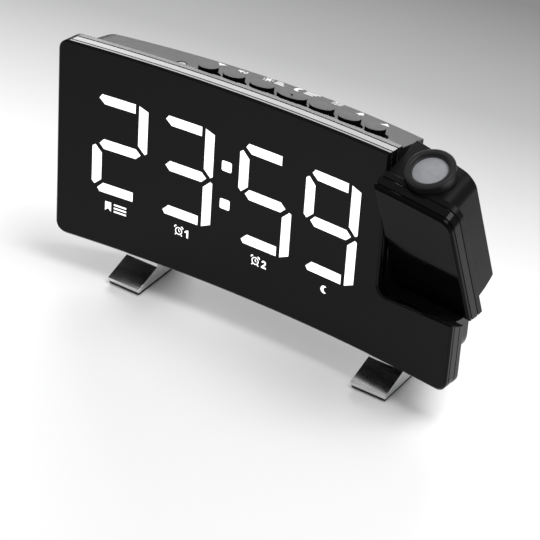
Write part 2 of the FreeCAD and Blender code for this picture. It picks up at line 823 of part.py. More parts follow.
block_box = box("block_box", (block_left, block_right), (-FAR, block_back), (block_low, block_high))
before_block = cylinder("before_block", face_radius + panel_thick + screw_gap, 0, -face_radius, -FAR, 3 * FAR)
cavities = []
for index in range(4):
    left = digit_left + index * digit_pitch + (colon_extra if index > 1 else 0)
    for number, outline in enumerate(segment_outlines(), 1):
        cavity = prism(f"cavity_{index + 1}_{number}", "XZ_Plane", outline, -FAR, block_back - cavity_floor)
        cavities.append(place(cavity, left, 0, digit_low))
colon_left = digit_left + digit_pitch + digit_wide + (colon_extra + digit_pitch - digit_wide - colon_side) / 2
for index, up in enumerate((colon_low, colon_high), 1):
    low = digit_low + up - colon_side / 2
    cavities.append(box(f"colon_cavity_{index}", (colon_left, colon_left + colon_side),
                        (-FAR, block_back - cavity_floor), (low, low + colon_side)))
node("digit_block", cut("digit_block_piece", block_box, before_block, *cavities), CLOCK)
display_board = box("display_board_piece", (0, block_right - block_left), (0, board_thick),
                    (0, block_high - block_low))
node("display_board", display_board, CLOCK + " * " + place_formula(block_left, block_back, block_low))

# Main board with its sockets
main_board = box("main_board_piece", (0, board_right - board_left), (0, board_thick),
                 (0, board_high - board_low))
node("main_board", main_board, CLOCK + " * " + place_formula(board_left, board_deep, board_low))
usb_end = rear_arc(usb_across + usb_half_wide) - socket_sink
usb_outer = box("usb_outer", (usb_across - usb_half_wide, usb_across + usb_half_wide), (board_back, usb_end),
                (socket_up - usb_half_tall, socket_up + usb_half_tall))
inner_wide, inner_tall = usb_half_wide - usb_can_thick, usb_half_tall - usb_can_thick
usb_inner = box("usb_inner", (usb_across - inner_wide, usb_across + inner_wide), (usb_end - usb_deep, FAR),
                (socket_up - inner_tall, socket_up + inner_tall))
usb_tongue = box("usb_tongue", (usb_across - tongue_half, usb_across + tongue_half),
                 (usb_end - usb_deep - usb_can_thick, usb_end - tongue_short),
                 (socket_up, socket_up + tongue_thick))
node("usb_socket", fuse("usb_piece", cut("usb_can", usb_outer, usb_inner), usb_tongue), CLOCK)
jack_end = rear_arc(jack_across + jack_radius) - socket_sink
jack_long = jack_end - board_back
jack_body = cylinder("jack_body", jack_radius, jack_across, board_back, socket_up, jack_long, "y")
jack_hollow = cylinder("jack_hollow", jack_bore, jack_across, jack_end - jack_deep, socket_up, FAR, "y")
jack_post = cylinder("jack_post", jack_pin, jack_across, board_back + socket_sink, socket_up,
                     jack_long - jack_pin, "y")
node("dc_jack", fuse("jack_piece", cut("jack_can", jack_body, jack_hollow), jack_post), CLOCK)

# Speaker: basket flange in its well, cone and magnet in front of it
cone_front = speaker_seat - speaker_cone
speaker_points = [
    (cone_front - speaker_magnet, 0),
    (cone_front - speaker_magnet, magnet_radius),
    (cone_front, magnet_radius),
    (speaker_seat - speaker_lip, speaker_radius - speaker_lip - seat_gap),
    (speaker_seat - speaker_lip, speaker_radius),
    (speaker_seat, speaker_radius),
    (speaker_seat, speaker_radius - wall),
    (speaker_seat - speaker_cone / 2, 0),
]
speaker = turned("speaker_piece", speaker_points)
speaker_place = place_formula(speaker_across, 0, speaker_up, "0; 0; 1", 90)
node("speaker", speaker, CLOCK + " * " + speaker_place)

# Back-up battery: holder and coin cell behind a lift-out door
holder_half = half_hole - glue_gap
holder_back = rear_depth - bay_deep + holder_deep
holder = box("holder_block", (-holder_half, holder_half), (rear_depth - bay_deep, holder_back),
             (door_up - holder_half, door_up + holder_half))
cell_front = holder_back - cell_thick
cell_well = cylinder("cell_well", cell_radius + socket_sink, 0, cell_front - seat_gap, door_up, FAR, "y")
node("cell_holder", cut("holder_piece", holder, cell_well), CLOCK)
node("coin_cell", cylinder("cell_piece", cell_radius, 0, 0, 0, cell_thick, "z"),
     CLOCK + " * " + place_formula(0, cell_front, door_up, "1; 0; 0", -90))
half_plate = half_door - door_gap
door_block = box("door_block", (-half_plate, half_plate), (door_seat + seat_gap, FAR),
                 (door_up - half_plate, door_up + half_plate))
door_bound = rear_bound("door_bound", 0)
finger_pull = box("finger_pull", (-pull_half, pull_half), (rear_depth - pull_deep, FAR),
                  (door_up + pull_up, door_up + pull_up + pull_tall))
door_plate = common("door_plate", door_block, door_bound)
node("battery_door", cut("door_piece", door_plate, finger_pull), CLOCK)

# Arm shell: rim, deeper bump, collar under the focus ring
arm_left = notch_left + arm_gap


def arm_top(deep):
    """Height of the arm bump's sloping top at a depth."""
    return pivot_up + arm_rise - bump_drop - (deep - rim_back) * tangent(bump_slope)


def arm_bump_form(name, inset):
    """The arm's bump, smaller all round by inset."""
    left = arm_left + arm_left_rim + inset
    right = half_width - arm_side_rim - inset
    front, rear = as_size(-10), rear_depth + 20
    points = [
        (front, pivot_up),
        (rear, pivot_up),
        (rear, arm_top(rear) - inset),
        (front, arm_top(front) - inset),
    ]
    upper = prism(name + "_upper", "YZ_Plane", points, left, right)
    right_edge = right.number
    soften(upper, arm_bump_corner - inset,
           lambda edge: runs_back(edge) and abs(middle(edge).x - right_edge) < 0.01 and middle(edge).z > 70)
    radius = ledge_radius - arm_end_gap - arm_inset - inset
    end = turned(name + "_end", rectangle(left, right, 0, radius))
    place(end, 0, pivot_deep, pivot_up)
    below = box(name + "_below", (left, right), (-FAR, FAR), (-FAR, pivot_up))
    lower = common(name + "_lower", end, below)
    whole = fuse(name + "_whole", upper, lower)
    return common(name, whole, rear_bound(name + "_rear", arm_extra - inset))


arm_rim_band = common("arm_rim_band", rim_layer, arm_face)
arm_rim_lip = common("arm_rim_lip", rim_lip_layer, arm_step)
arm_bump = cut("arm_bump", arm_bump_form("arm_bump_outer", 0), before_rim)
arm_pocket = common("arm_pocket", rim_pocket_layer, arm_hole)
arm_hollow = fuse("arm_hollow", arm_pocket, arm_bump_form("arm_bump_inner", wall))
arm_blank = cut("arm_blank", fuse("arm_shell_whole", arm_rim_band, arm_rim_lip, arm_bump), arm_hollow)
collar_top = pivot_up + ring_low - thrust_gap
collar = cylinder("collar", ring_radius - barrel_wall, lens_across, lens_deep, collar_top - collar_tall,
                  collar_tall)
ring_well = cylinder("ring_well", ring_radius + ring_gap, lens_across, lens_deep, collar_top, FAR)
barrel_radius = lens_radius + barrel_wall
barrel_hole = cylinder("barrel_hole", barrel_radius + seat_gap, lens_across, lens_deep,
                       collar_top - collar_tall - 1, FAR)
shaft_hole = cylinder("shaft_hole", shaft_radius + press_fit, notch_left, pivot_deep, pivot_up, 4 * wall, "x")
arm_collared = cut("arm_collared", fuse("arm_with_collar", arm_blank, collar), ring_well)
node("arm_shell", cut("arm_shell_piece", arm_collared, barrel_hole, shaft_hole), ARM)

# Pivot: hollow shaft fixed in the arm, turning in a bush in the notch's wall
bush_left = notch_left - wall - flange_thick
bush_points = [
    (bush_left, shaft_radius + run_fit),
    (notch_left, shaft_radius + run_fit),
    (notch_left, bush_radius),
    (notch_left - wall - press_fit, bush_radius),
    (notch_left - wall - press_fit, bush_flange),
    (bush_left, bush_flange),
]
PIVOT = place_formula(0, pivot_deep, pivot_up)
node("pivot_bush", turned("bush_piece", bush_points), CLOCK + " * " + PIVOT)
washer_left = bush_left - washer_thick
washer_points = rectangle(washer_left, bush_left, shaft_radius + screw_gap, bush_flange)
node("friction_washer", turned("washer_piece", washer_points), CLOCK + " * " + PIVOT)
clip_right = washer_left - thrust_gap
clip_left = clip_right - clip_thick
shaft_left = clip_left - clip_thick
flange_left = arm_left + arm_left_rim + wall + press_fit
flange_right = flange_left + flange_thick
groove_radius = shaft_radius - clip_groove
shaft_points = [
    (shaft_left, shaft_bore),
    (flange_right, shaft_bore),
    (flange_right, shaft_flange),
    (flange_left, shaft_flange),
    (flange_left, shaft_radius),
    (clip_right + press_fit, shaft_radius),
    (clip_right + press_fit, groove_radius),
    (clip_left - press_fit, groove_radius),
    (clip_left - press_fit, shaft_radius),
    (shaft_left, shaft_radius),
]
node("pivot_shaft", turned("shaft_piece", shaft_points), ARM + " * " + PIVOT)
clip_points = rectangle(clip_left, clip_right, groove_radius + press_fit, bush_radius)
clip_ring = turned("clip_ring", clip_points)
mouth_half = shaft_radius / 2
clip_mouth = box("clip_mouth", (clip_left, clip_right), (-mouth_half, mouth_half), (0, FAR))
node("retaining_clip", cut("clip_piece", clip_ring, clip_mouth), ARM + " * " + PIVOT)

# Optics: lamp and image slide at the foot of the barrel, lens at its head
OPTIC = place_formula(lens_across, lens_deep, pivot_up, "0; 1; 0", -90)
inner = barrel_radius - barrel_wall
barrel_points = [
    (barrel_low, inner - barrel_lip),
    (barrel_top - lens_thick, inner - barrel_lip),
    (barrel_top - lens_thick, inner),
    (barrel_top, inner),
    (barrel_top, barrel_radius),
    (barrel_low, barrel_radius),
]
node("lens_barrel", turned("barrel_piece", barrel_points), ARM + " * " + OPTIC)
lens_low = barrel_top - lens_thick + press_fit
lens_rim = barrel_top - dome_rise
lens = turned("lens_disc", rectangle(lens_low, lens_rim, 0, inner - seat_gap))
dome_chord = inner - seat_gap
dome_radius = (dome_chord * dome_chord + dome_rise * dome_rise) / (2 * dome_rise)
dome_ball = doc.addObject("Part::Sphere", "dome_ball")
bind(dome_ball, "Radius", dome_radius)
place(dome_ball, lens_rim + dome_rise - dome_radius, 0, 0)
dome_bar = cylinder("dome_bar", dome_chord, lens_rim - seat_gap, 0, 0, wall, "x")
lens_dome = common("lens_dome", dome_ball, dome_bar)
node("projection_lens", fuse("lens_piece", lens, lens_dome), ARM + " * " + OPTIC)
slide_low = barrel_low + slide_rise
slide_radius = inner - barrel_lip - seat_gap
node("image_slide", turned("slide_piece", rectangle(slide_low, slide_low + slide_thick, 0, slide_radius)),
     ARM + " * " + OPTIC)
lamp_points = rectangle(barrel_low, barrel_low + lamp_tall, 0, lamp_radius)
node("projector_lamp", turned("lamp_piece", lamp_points), ARM + " * " + OPTIC)
lamp_half = barrel_radius + lamp_margin
lamp_rear = barrel_radius - lamp_notch
lamp_board = box("lamp_board_piece", (0, 2 * lamp_half), (0, lamp_half + lamp_rear), (0, board_thick))
lamp_board_low = pivot_up + barrel_low - board_thick
lamp_place = place_formula(lens_across - lamp_half, lens_deep - lamp_half, lamp_board_low)
node("lamp_board", lamp_board, ARM + " * " + lamp_place)
ring_step = barrel_top + screw_gap
ring_bore = inner + socket_sink
ring_points = [
    (ring_low, barrel_radius + run_fit),
    (ring_step, barrel_radius + run_fit),
    (ring_step, ring_bore),
    (ring_top - ring_bevel, ring_bore),
    (ring_top, ring_bore + ring_bevel),
    (ring_top, ring_radius - ring_bevel),
    (ring_top - ring_bevel, ring_radius),
    (ring_low, ring_radius),
]
node("focus_ring", turned("ring_piece", ring_points), ARM + " * " + OPTIC)

# Feet: chromed shoes whose heels seat on the flat underside of the bump
sin_tilt, cos_tilt = sine(tilt_back), cosine(tilt_back)


def on_table(deep, up):
    """A point of the tilted clock as (back, up) on the table."""
    return deep * cos_tilt + up * sin_tilt, ride_height + up * cos_tilt - deep * sin_tilt


toe_top = pad_tall + toe_tall
heel_deep = front_arc(foot_inner) + rim_back + heel_gap
seat_front = on_table(heel_deep, bump_low)
seat_rear = on_table(heel_deep + heel_long, bump_low)
heel_low = on_table(heel_deep, 0)[0] - heel_gap
foot_points = [
    (-foot_front, pad_tall),
    (foot_rear, pad_tall),
    (foot_rear, toe_top),
    seat_rear,
    seat_front,
    (heel_low, toe_top + (heel_low + foot_front) * tangent(foot_slope)),
    (-foot_front, toe_top),
]
for side, low in (("left", -(foot_inner + foot_wide)), ("right", foot_inner)):
    high = low + foot_wide
    node(f"foot_{side}", prism(f"foot_{side}_piece", "YZ_Plane", foot_points, low, high), TABLE)
    pad = box(f"foot_pad_{side}_piece", (0, foot_wide - 2 * pad_inset),
              (0, foot_rear + foot_front - 2 * pad_inset), (0, pad_tall))
    node(f"foot_pad_{side}", pad, place_formula(low + pad_inset, pad_inset - foot_front - origin_deep, 0))

doc.recompute()
failed = [thing.Name for thing in doc.Objects if {"Invalid", "Error"} & set(thing.State)]
if failed:
    raise RuntimeError(f"failed objects: {failed}")
os.makedirs("parts", exist_ok=True)
for name, thing in nodes.items():
    shape = thing.Shape
    if shape.isNull() or not shape.isValid():
        raise RuntimeError(f"{name}: bad shape")
    shape.exportStep(f"parts/{name}.step")
    print(name, len(shape.Solids), round(shape.Volume, 1), shape.BoundBox)
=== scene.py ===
import bmesh
import bpy
import math
from mathutils import Matrix, Vector


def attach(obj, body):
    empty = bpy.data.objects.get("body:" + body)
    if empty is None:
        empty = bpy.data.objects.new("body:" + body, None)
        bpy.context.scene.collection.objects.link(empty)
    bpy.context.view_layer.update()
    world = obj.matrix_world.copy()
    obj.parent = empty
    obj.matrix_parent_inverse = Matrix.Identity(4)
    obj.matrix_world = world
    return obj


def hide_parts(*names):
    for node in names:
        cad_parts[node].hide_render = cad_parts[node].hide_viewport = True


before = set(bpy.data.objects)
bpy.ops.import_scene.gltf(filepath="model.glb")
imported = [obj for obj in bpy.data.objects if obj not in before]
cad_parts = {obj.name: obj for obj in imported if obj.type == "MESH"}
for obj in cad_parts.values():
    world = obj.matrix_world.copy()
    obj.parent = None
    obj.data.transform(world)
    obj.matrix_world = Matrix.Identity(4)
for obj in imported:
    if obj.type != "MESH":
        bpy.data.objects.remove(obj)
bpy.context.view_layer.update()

# Stage: a wide pale floor whose colour runs from white in front to soft grey far behind,
# painted shade for the light falling off over a studio sweep. A low lamp stands behind it,
# so that the top edges of the black mouldings catch a band of light, and a broad soft lamp
# hangs above.
FLOOR_HALF, FLOOR_HEIGHT = 3.0, -0.0004
FADE_START, FADE_MIDDLE, FADE_END = 0.035, 0.585, 0.30
FADE_SKEW = -0.1025


def new_material(name):
    """An empty node material and its Principled shader."""
    material = bpy.data.materials.new(name)
    material.use_nodes = True
    shader = material.node_tree.nodes["Principled BSDF"]
    return material, material.node_tree, shader


def add(tree, kind, **values):
    """A node with its plain properties and its unlinked inputs set."""
    item = tree.nodes.new(kind)
    for key, value in values.items():
        if hasattr(item, key):
            setattr(item, key, value)
        else:
            item.inputs[key.replace("_", " ")].default_value = value
    return item


def place_mesh(name, form):
    """Turn a bmesh into a named object of the scene."""
    mesh = bpy.data.meshes.new(name)
    form.to_mesh(mesh)
    form.free()
    piece = bpy.data.objects.new(name, mesh)
    bpy.context.scene.collection.objects.link(piece)
    return piece


form = bmesh.new()
bmesh.ops.create_grid(form, x_segments=1, y_segments=1, size=FLOOR_HALF)
bmesh.ops.translate(form, vec=(0, 0, FLOOR_HEIGHT), verts=form.verts)
floor = place_mesh("studio_floor", form)
floor_painted_falloff, tree, shader = new_material("floor_painted_falloff")
where = add(tree, "ShaderNodeTexCoord")
split = add(tree, "ShaderNodeSeparateXYZ")
tree.links.new(where.outputs["Object"], split.inputs["Vector"])
diagonal = add(tree, "ShaderNodeMath", operation="MULTIPLY_ADD")
diagonal.inputs[1].default_value = FADE_SKEW
tree.links.new(split.outputs["X"], diagonal.inputs[0])
tree.links.new(split.outputs["Y"], diagonal.inputs[2])
# Painted shade: the floor's colour greys towards the back, standing in for light falling off.
fade = add(tree, "ShaderNodeValToRGB")
spread = add(tree, "ShaderNodeMapRange", From_Min=FADE_START, From_Max=FADE_END)
tree.links.new(diagonal.outputs[0], spread.inputs["Value"])
tree.links.new(spread.outputs["Result"], fade.inputs["Fac"])
fade.color_ramp.elements[0].color = (0.93, 0.93, 0.93, 1)
fade.color_ramp.elements[1].color = (0.148, 0.148, 0.151, 1)
fade.color_ramp.elements.new(FADE_MIDDLE).color = (0.355, 0.355, 0.358, 1)
tree.links.new(fade.outputs["Color"], shader.inputs["Base Color"])
shader.inputs["Roughness"].default_value = 0.6
shader.inputs["Specular IOR Level"].default_value = 0.1
floor.data.materials.append(floor_painted_falloff)

sky = bpy.data.worlds.new("studio_sky")
bpy.context.scene.world = sky
sky.use_nodes = True
sky.node_tree.nodes["Background"].inputs["Color"].default_value = (1, 1, 1, 1)
sky.node_tree.nodes["Background"].inputs["Strength"].default_value = 0.48


def soft_lamp(name, target, direction, distance, wide, tall, power):
    """A rectangular soft lamp that looks at a point from a direction."""
    data = bpy.data.lights.new(name, "AREA")
    data.shape = "RECTANGLE"
    data.size = wide
    data.size_y = tall
    data.energy = power
    lamp = bpy.data.objects.new(name, data)
    bpy.context.scene.collection.objects.link(lamp)
    towards = Vector(direction).normalized()
    lamp.location = Vector(target) + towards * distance
    lamp.rotation_euler = towards.to_track_quat("Z", "Y").to_euler()
    lamp.visible_camera = False
    return lamp


soft_lamp("rear_lamp", (0, 0, 0.08), (-0.486, 0.78, 0.40), 1.3, 0.9, 0.36, 9.8)
soft_lamp("top_lamp", (0, 0, 0.03), (0.50, 0.12, 1.0), 1.6, 0.9, 0.9, 18.5)

# Camera: the photograph's own viewpoint, to the right of the display and above it.
AZIMUTH, ELEVATION, ROLL = (math.radians(angle) for angle in (36.640, 35.443, -1.035))
FOCAL_PIXELS, FRAME_PIXELS, SENSOR = 2246.41, 540, 36
EYE = (0.456474, -0.616390, 0.568320)
back = Vector((math.sin(AZIMUTH) * math.cos(ELEVATION),
               -math.cos(AZIMUTH) * math.cos(ELEVATION), math.sin(ELEVATION)))
level = Vector((0, 0, 1)).cross(back).normalized()
upward = back.cross(level)
right_axis = level * math.cos(ROLL) + upward * math.sin(ROLL)
up_axis = upward * math.cos(ROLL) - level * math.sin(ROLL)
camera = bpy.data.objects.new("camera", bpy.data.cameras.new("camera"))
bpy.context.scene.collection.objects.link(camera)
camera.data.sensor_width = SENSOR
camera.data.lens = FOCAL_PIXELS * SENSOR / FRAME_PIXELS
camera.data.clip_start = 0.05
turn = Matrix((right_axis, up_axis, back)).transposed().to_4x4()
camera.matrix_world = Matrix.Translation(EYE) @ turn
bpy.context.scene.camera = camera
bpy.context.scene.view_settings.view_transform = "Standard"


# Moulded black plastics: satin shells and focus ring with a fine spark-eroded grain,
# and glossy piano-black frames. The grain group gives roughness and height, and the
# edge group rounded normals, so that each material keeps its own shader and values.
def socket(group, name, way, kind, value=None):
    """An input or output of a node group."""
    made = group.interface.new_socket(name=name, in_out=way, socket_type=kind)
    if value is not None:
        made.default_value = value
    return made


def grain_group():
    """Fine mould grain with broad patches, as roughness and height."""
    group = bpy.data.node_groups.new("mould_grain", "ShaderNodeTree")
    socket(group, "Grain Scale", "INPUT", "NodeSocketFloat", 1500.0)
    socket(group, "Patch Scale", "INPUT", "NodeSocketFloat", 30.0)
    socket(group, "Low", "INPUT", "NodeSocketFloat", 0.3)
    socket(group, "High", "INPUT", "NodeSocketFloat", 0.5)
    socket(group, "Roughness", "OUTPUT", "NodeSocketFloat")
    socket(group, "Height", "OUTPUT", "NodeSocketFloat")
    start = group.nodes.new("NodeGroupInput")
    finish = group.nodes.new("NodeGroupOutput")
    place = group.nodes.new("ShaderNodeTexCoord")
    grain = group.nodes.new("ShaderNodeTexNoise")
    grain.inputs["Detail"].default_value = 3
    patch = group.nodes.new("ShaderNodeTexNoise")
    patch.inputs["Detail"].default_value = 4
    for noise, name in ((grain, "Grain Scale"), (patch, "Patch Scale")):
        group.links.new(place.outputs["Object"], noise.inputs["Vector"])
        group.links.new(start.outputs[name], noise.inputs["Scale"])
    blend = group.nodes.new("ShaderNodeMath")
    blend.operation = "MULTIPLY_ADD"
    blend.inputs[1].default_value = 0.35
    group.links.new(grain.outputs["Fac"], blend.inputs[0])
    half = group.nodes.new("ShaderNodeMath")
    half.operation = "MULTIPLY"
    half.inputs[1].default_value = 0.65
    group.links.new(patch.outputs["Fac"], half.inputs[0])
    group.links.new(half.outputs[0], blend.inputs[2])
    spread = group.nodes.new("ShaderNodeMapRange")
    spread.inputs["From Min"].default_value = 0.3
    spread.inputs["From Max"].default_value = 0.7
    group.links.new(blend.outputs[0], spread.inputs["Value"])
    group.links.new(start.outputs["Low"], spread.inputs["To Min"])
    group.links.new(start.outputs["High"], spread.inputs["To Max"])
    group.links.new(spread.outputs["Result"], finish.inputs["Roughness"])
    group.links.new(grain.outputs["Fac"], finish.inputs["Height"])
    return group


def soft_edge_group():
    """Normals that round a sharp edge over a small radius."""
    group = bpy.data.node_groups.new("soft_edge", "ShaderNodeTree")
    socket(group, "Radius", "INPUT", "NodeSocketFloat", 0.0003)
    socket(group, "Normal", "OUTPUT", "NodeSocketVector")
    start = group.nodes.new("NodeGroupInput")
    finish = group.nodes.new("NodeGroupOutput")
    rounding = group.nodes.new("ShaderNodeBevel")
    rounding.samples = 6
    group.links.new(start.outputs["Radius"], rounding.inputs["Radius"])
    group.links.new(rounding.outputs["Normal"], finish.inputs["Normal"])
    return group


mould_grain = grain_group()
soft_edge = soft_edge_group()


def moulding(name, colour, low, high, grain=1500.0, depth=0.00001, edge=0.0003,
             specular=0.5, metal=0.0):
    """A moulded or worked surface: colour, gloss between two limits, grain and soft edges."""
    material, tree, shader = new_material(name)
    surface = add(tree, "ShaderNodeGroup")
    surface.node_tree = mould_grain
    surface.inputs["Grain Scale"].default_value = grain
    surface.inputs["Low"].default_value = low
    surface.inputs["High"].default_value = high
    edges = add(tree, "ShaderNodeGroup")
    edges.node_tree = soft_edge
    edges.inputs["Radius"].default_value = edge
    shade = add(tree, "ShaderNodeValToRGB")
    shade.color_ramp.elements[0].color = [part * 0.85 for part in colour] + [1]
    shade.color_ramp.elements[1].color = [min(1, part * 1.15) for part in colour] + [1]
    tree.links.new(surface.outputs["Height"], shade.inputs["Fac"])
    tree.links.new(shade.outputs["Color"], shader.inputs["Base Color"])
    tree.links.new(surface.outputs["Roughness"], shader.inputs["Roughness"])
    relief = add(tree, "ShaderNodeBump", Strength=0.6, Distance=depth)
    tree.links.new(surface.outputs["Height"], relief.inputs["Height"])
    tree.links.new(edges.outputs["Normal"], relief.inputs["Normal"])
    tree.links.new(relief.outputs["Normal"], shader.inputs["Normal"])
    shader.inputs["Specular IOR Level"].default_value = specular
    shader.inputs["Metallic"].default_value = metal
    return material


def dress(material, *names):
    """Give CAD nodes a finish."""
    for name in names:
        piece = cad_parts[name]
        piece.data.materials.clear()
        piece.data.materials.append(material)


satin_black = moulding("satin_black", (0.007, 0.007, 0.0074), 0.28, 0.40, specular=0.23)
dress(satin_black, "rear_shell", "battery_door")
# The arm's shell: a darker, less glossy copy of the satin black, painted shade.
arm_satin_painted_shade = moulding("arm_satin_painted_shade", (0.005, 0.005, 0.0053), 0.28, 0.40, specular=0.08)
dress(arm_satin_painted_shade, "arm_shell")
frame_gloss = moulding("frame_gloss", (0.003, 0.003, 0.0033), 0.08, 0.16, 300, 0.000004, 0.0002, 0.17)
dress(frame_gloss, "front_frame")
# The arm's frame: a less glossy copy of the frame gloss, painted shade.
arm_gloss_painted_shade = moulding("arm_frame_gloss", (0.003, 0.003, 0.0033), 0.08, 0.16, 300, 0.000004, 0.0002, 0.1)
dress(arm_gloss_painted_shade, "arm_frame")
ring_satin = moulding("ring_satin", (0.012, 0.012, 0.0125), 0.26, 0.38, 1800, 0.000008, 0.0004, 0.25)
dress(ring_satin, "focus_ring")

# Display panels: 2 mm smoked acrylic with a bevelled edge, glued into the frames. The
# smoke is nearly black and the gloss weak; the arm's panel is a darker, less glossy copy, painted
# shade.
smoked = moulding("smoked_acrylic", (0.0035, 0.0035, 0.0037), 0.05, 0.11, 120, 0.000001, 0.00015, 0.11)
dress(smoked, "front_panel")
# The arm's panel: a darker, less glossy copy of the smoked acrylic, painted shade.
arm_smoked_painted_shade = moulding("arm_acrylic_painted_shade", (0.002, 0.002, 0.0022), 0.06, 0.12, 120, 0.000001, 0.00015, 0.045)
dress(arm_smoked_painted_shade, "arm_panel")

# Inner and small parts: turned and pressed steel, zinc-plated screws, green circuit
# boards, white and black nylon mouldings, and the rubber pads under the feet.
bright_steel = moulding("bright_steel", (0.62, 0.62, 0.63), 0.18, 0.32, 900, 0.000003, 0.0001, 0.5, 1.0)
dress(bright_steel, "pivot_shaft", "friction_washer", "retaining_clip", "coin_cell", "usb_socket")
screw_zinc = moulding("screw_zinc", (0.10, 0.10, 0.105), 0.3, 0.45, 900, 0.000003, 0.0001, 0.5, 1.0)
dress(screw_zinc, "rear_screws", "speaker")
board_green = moulding("board_green", (0.015, 0.09, 0.035), 0.3, 0.45, 700, 0.000004, 0.0001)
dress(board_green, "display_board", "main_board", "key_board", "lamp_board")
white_nylon = moulding("white_nylon", (0.72, 0.72, 0.70), 0.4, 0.55)
dress(white_nylon, "digit_block", "pivot_bush", "projector_lamp")
black_nylon = moulding("black_nylon", (0.025, 0.025, 0.026), 0.35, 0.5)
dress(black_nylon, "dc_jack", "cell_holder", "key_switches", "lens_barrel")
pad_rubber = moulding("pad_rubber", (0.012, 0.012, 0.012), 0.6, 0.8, 1100, 0.00002, 0.0002, 0.3)
dress(pad_rubber, "foot_pad_left", "foot_pad_right")

# Projection lens and image slide: clear mouldings with a faint haze, held in the dark
# barrel of the arm.
lens_clear = moulding("lens_clear", (0.42, 0.43, 0.45), 0.10, 0.18, 400, 0.000001, 0.0001)
lens_shader = lens_clear.node_tree.nodes["Principled BSDF"]
lens_shader.inputs["Transmission Weight"].default_value = 0.35
lens_shader.inputs["IOR"].default_value = 1.49
dress(lens_clear, "projection_lens", "image_slide")

# Feet: two wedge-shaped metal shoes with a softly polished chrome plate, which shows
# a faint orange peel.
chrome = moulding("chrome_plate", (0.72, 0.72, 0.73), 0.12, 0.22, 220, 0.000006, 0.0002, 0.5, 1.0)
dress(chrome, "foot_left", "foot_right")

# Lit strokes: the light of the digit and colon cavities where it leaves the smoked
# panel, showing 23:59. They are thin plates with mitred ends that follow the curve of
# the face, and only the strokes that are lit are made.
MM = 0.001
TILT = math.radians(7.4)
ORIGIN_DEEP, RIDE = 17.14, 16.3
FACE_RADIUS = 683.0
SUNK, PLATE_THICK = 0.05, 0.12


def face_arc(across):
    """How far the face lies behind its middle."""
    return math.sqrt(FACE_RADIUS ** 2 - across ** 2) - FACE_RADIUS


def clock_point(across, deep, up):
    """A point of the tilted clock, in millimetres, as a place in metres."""
    return Vector((across,
                   deep * math.cos(TILT) + up * math.sin(TILT) - ORIGIN_DEEP,
                   RIDE - deep * math.sin(TILT) + up * math.cos(TILT))) * MM


def finish_piece(name, form, material, body):
    """Turn a bmesh into a named piece that rides on a body."""
    piece = place_mesh(name, form)
    piece.data.materials.append(material)
    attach(piece, body)
    return piece


def close_form(name, form, material, body):
    """Turn the faces outwards and finish the piece."""
    bmesh.ops.recalc_face_normals(form, faces=form.faces)
    return finish_piece(name, form, material, body)


def raise_outline(form, outline, to_place):
    """A thin plate over an outline of (across, up) points, carried to its place."""
    flat = [form.verts.new((x, y, 0)) for x, y in outline]
    face = form.faces.new(flat)
    grown = bmesh.ops.extrude_face_region(form, geom=[face])
    top = [item for item in grown["geom"] if isinstance(item, bmesh.types.BMVert)]
    for vert in flat:
        vert.co = to_place(vert.co.x, vert.co.y, -SUNK)
    for vert in top:
        vert.co = to_place(vert.co.x, vert.co.y, PLATE_THICK - SUNK)


def on_face(across, up, proud):
    """A place on the display's face, proud of it by some millimetres."""
    return clock_point(across, face_arc(across) - proud, up)


DIGIT_LEFT, DIGIT_LOW, DIGIT_PITCH, COLON_EXTRA = -82.0, 25.9, 32.9, 6.9
lower_left = [(0, 4.3), (1.4, 3.0), (4.65, 5.9), (4.65, 18.4), (1.4, 21.6), (0, 20.6)]
strokes = {
    "top": [(5.6, 41.2), (20.6, 41.2), (20.6, 45.4), (4.1, 45.4), (2.8, 43.6)],
    "upper_right": [(22.4, 26.9), (25.8, 23.7), (26.9, 24.5), (26.9, 43.6), (22.4, 45.2)],
    "lower_right": [(22.4, 0.2), (26.9, 2.3), (26.9, 21.4), (25.9, 21.9), (22.4, 18.6)],
    "bottom": [(3.9, 0), (20.6, 0), (20.6, 4.3), (5.6, 4.4), (2.8, 1.6)],
    "lower_left": lower_left,
    "upper_left": [(x, y + 20.1) for x, y in lower_left],
    "middle": [(3.4, 22.7), (5.6, 20.5), (21.4, 20.5), (23.8, 22.8), (21.4, 25.0), (5.5, 25.0)],
}
shown = {
    "2": ("top", "upper_right", "middle", "lower_left", "bottom"),
    "3": ("top", "upper_right", "middle", "lower_right", "bottom"),
    "5": ("top", "upper_left", "middle", "lower_right", "bottom"),
    "9": ("top", "upper_right", "upper_left", "middle", "lower_right", "bottom"),
}

digit_light, tree, shader = new_material("digit_light")
place = add(tree, "ShaderNodeTexCoord")
haze = add(tree, "ShaderNodeTexNoise", Scale=160.0, Detail=2.0)
tree.links.new(place.outputs["Object"], haze.inputs["Vector"])
shade = add(tree, "ShaderNodeValToRGB")
shade.color_ramp.elements[0].color = (0.93, 0.93, 0.93, 1)
shade.color_ramp.elements[1].color = (1, 1, 1, 1)
shade.color_ramp.elements[0].position = 0.3
shade.color_ramp.elements[1].position = 0.5
tree.links.new(haze.outputs["Fac"], shade.inputs["Fac"])
tree.links.new(shade.outputs["Color"], shader.inputs["Emission Color"])
tree.links.new(shade.outputs["Color"], shader.inputs["Base Color"])
shader.inputs["Emission Strength"].default_value = 1.0
shader.inputs["Roughness"].default_value = 0.3
for index, figure in enumerate("2359"):
    form = bmesh.new()
    left = DIGIT_LEFT + index * DIGIT_PITCH + (COLON_EXTRA if index > 1 else 0)
    for part in shown[figure]:
        raise_outline(form, [(left + x, DIGIT_LOW + y) for x, y in strokes[part]], on_face)
    close_form(f"lit_digit_{index + 1}", form, digit_light, "housing")

